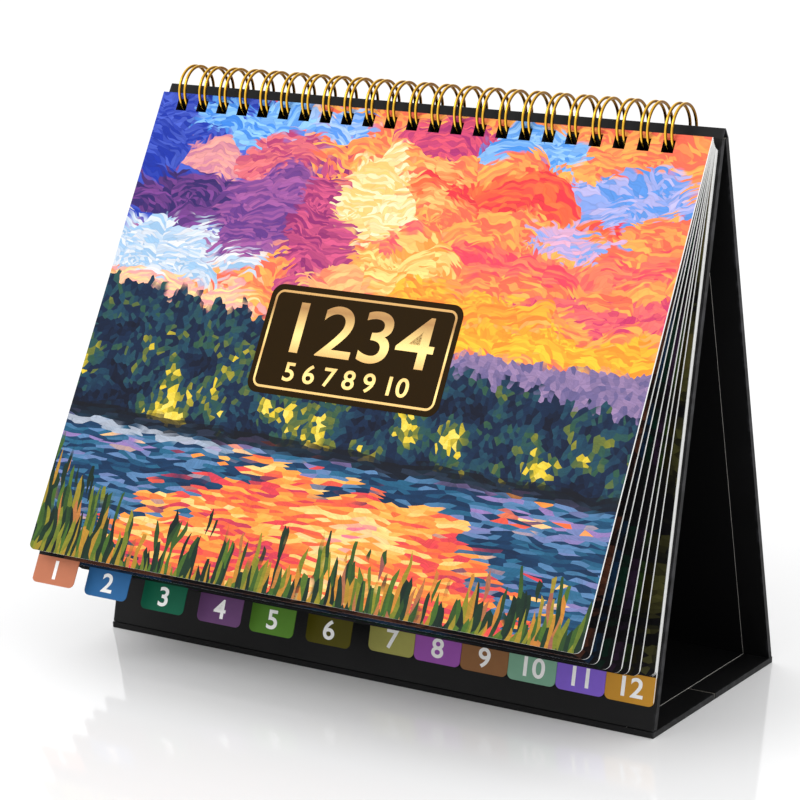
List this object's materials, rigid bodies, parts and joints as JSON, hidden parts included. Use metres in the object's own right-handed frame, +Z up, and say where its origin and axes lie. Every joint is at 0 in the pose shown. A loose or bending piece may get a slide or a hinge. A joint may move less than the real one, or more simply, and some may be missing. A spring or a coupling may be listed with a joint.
{
  "type": "desk calendar",
  "caption": "Folding easel of covered boards with a gold twin-loop wire along its ridge, carrying a printed cover and tabbed month sheets that turn over the top.",
  "frame": {"origin": "on the floor, under the ridge, at the middle of the base's underside", "axes": "+X along the ridge, -Y is the front that carries the sheets, +Z up"},
  "size_m": [0.212, 0.1297, 0.1922],
  "materials": {
    "board": "grey millboard",
    "leatherette": "fine matt leatherette",
    "lining": "matt lining paper with a pale cut edge",
    "gold_wire": "bright gold",
    "cover_print": "printed card, satin",
    "print_dec": "printed card, satin",
    "print_nov": "printed card, satin",
    "print_oct": "printed card, satin",
    "print_sep": "printed card, satin",
    "print_aug": "printed card, satin",
    "print_jul": "printed card, satin",
    "print_jun": "printed card, satin",
    "print_may": "printed card, satin",
    "print_apr": "printed card, satin",
    "print_mar": "printed card, satin",
    "print_feb": "printed card, satin",
    "print_jan": "printed card, satin"
  },
  "bodies": {
    "front_panel": {"front_core": "board", "front_skin": "leatherette", "front_lining": "lining", "ridge_hinge": "leatherette", "twin_loop_wire": "gold_wire"},
    "back_panel": {"back_core": "board", "back_skin": "leatherette", "back_lining": "lining"},
    "base_front": {"base_front_core": "board", "base_front_skin": "leatherette", "base_front_lining": "lining", "front_corner_hinge": "leatherette", "crease_hinge": "lining"},
    "base_rear": {"base_rear_core": "board", "base_rear_skin": "leatherette", "base_rear_lining": "lining", "rear_corner_hinge": "leatherette"},
    "sheet_dec": {"sheet_dec": "print_dec"},
    "sheet_nov": {"sheet_nov": "print_nov"},
    "sheet_oct": {"sheet_oct": "print_oct"},
    "sheet_sep": {"sheet_sep": "print_sep"},
    "sheet_aug": {"sheet_aug": "print_aug"},
    "sheet_jul": {"sheet_jul": "print_jul"},
    "sheet_jun": {"sheet_jun": "print_jun"},
    "sheet_may": {"sheet_may": "print_may"},
    "sheet_apr": {"sheet_apr": "print_apr"},
    "sheet_mar": {"sheet_mar": "print_mar"},
    "sheet_feb": {"sheet_feb": "print_feb"},
    "sheet_jan": {"sheet_jan": "print_jan"},
    "sheet_cover": {"sheet_cover": "cover_print"}
  },
  "joints": [
    {"name": "stand_fold", "type": "hinge", "parent": "front_panel", "child": "back_panel", "pos_m": [0, 0, 0.18164], "axis": [-1, 0, 0], "range_deg": [0, 25.02]},
    {"name": "front_corner_fold", "type": "hinge", "parent": "front_panel", "child": "base_front", "pos_m": [0, -0.0425, 0], "axis": [-1, 0, 0], "range_deg": [0, 102.51]},
    {"name": "crease_fold", "type": "hinge", "parent": "base_front", "child": "base_rear", "pos_m": [0, 0, 0.00215], "axis": [1, 0, 0], "range_deg": [0, 180]},
    {"name": "turn_dec", "type": "hinge", "parent": "front_panel", "child": "sheet_dec", "pos_m": [0, 0, 0.1834], "axis": [-1, 0, 0], "range_deg": [0, 240]},
    {"name": "turn_nov", "type": "hinge", "parent": "sheet_dec", "child": "sheet_nov", "pos_m": [0, 0, 0.1834], "axis": [-1, 0, 0], "range_deg": [0, 240]},
    {"name": "turn_oct", "type": "hinge", "parent": "sheet_nov", "child": "sheet_oct", "pos_m": [0, 0, 0.1834], "axis": [-1, 0, 0], "range_deg": [0, 240]},
    {"name": "turn_sep", "type": "hinge", "parent": "sheet_oct", "child": "sheet_sep", "pos_m": [0, 0, 0.1834], "axis": [-1, 0, 0], "range_deg": [0, 240]},
    {"name": "turn_aug", "type": "hinge", "parent": "sheet_sep", "child": "sheet_aug", "pos_m": [0, 0, 0.1834], "axis": [-1, 0, 0], "range_deg": [0, 240]},
    {"name": "turn_jul", "type": "hinge", "parent": "sheet_aug", "child": "sheet_jul", "pos_m": [0, 0, 0.1834], "axis": [-1, 0, 0], "range_deg": [0, 240]},
    {"name": "turn_jun", "type": "hinge", "parent": "sheet_jul", "child": "sheet_jun", "pos_m": [0, 0, 0.1834], "axis": [-1, 0, 0], "range_deg": [0, 240]},
    {"name": "turn_may", "type": "hinge", "parent": "sheet_jun", "child": "sheet_may", "pos_m": [0, 0, 0.1834], "axis": [-1, 0, 0], "range_deg": [0, 240]},
    {"name": "turn_apr", "type": "hinge", "parent": "sheet_may", "child": "sheet_apr", "pos_m": [0, 0, 0.1834], "axis": [-1, 0, 0], "range_deg": [0, 240]},
    {"name": "turn_mar", "type": "hinge", "parent": "sheet_apr", "child": "sheet_mar", "pos_m": [0, 0, 0.1834], "axis": [-1, 0, 0], "range_deg": [0, 240]},
    {"name": "turn_feb", "type": "hinge", "parent": "sheet_mar", "child": "sheet_feb", "pos_m": [0, 0, 0.1834], "axis": [-1, 0, 0], "range_deg": [0, 240]},
    {"name": "turn_jan", "type": "hinge", "parent": "sheet_feb", "child": "sheet_jan", "pos_m": [0, 0, 0.1834], "axis": [-1, 0, 0], "range_deg": [0, 240]},
    {"name": "turn_cover", "type": "hinge", "parent": "sheet_jan", "child": "sheet_cover", "pos_m": [0, 0, 0.1834], "axis": [-1, 0, 0], "range_deg": [0, 240]}
  ],
  "couplings": [
    {"joint": "front_corner_fold", "follows": "stand_fold", "ratio": 4.0975},
    {"joint": "crease_fold", "follows": "stand_fold", "ratio": 7.1949}
  ]
}
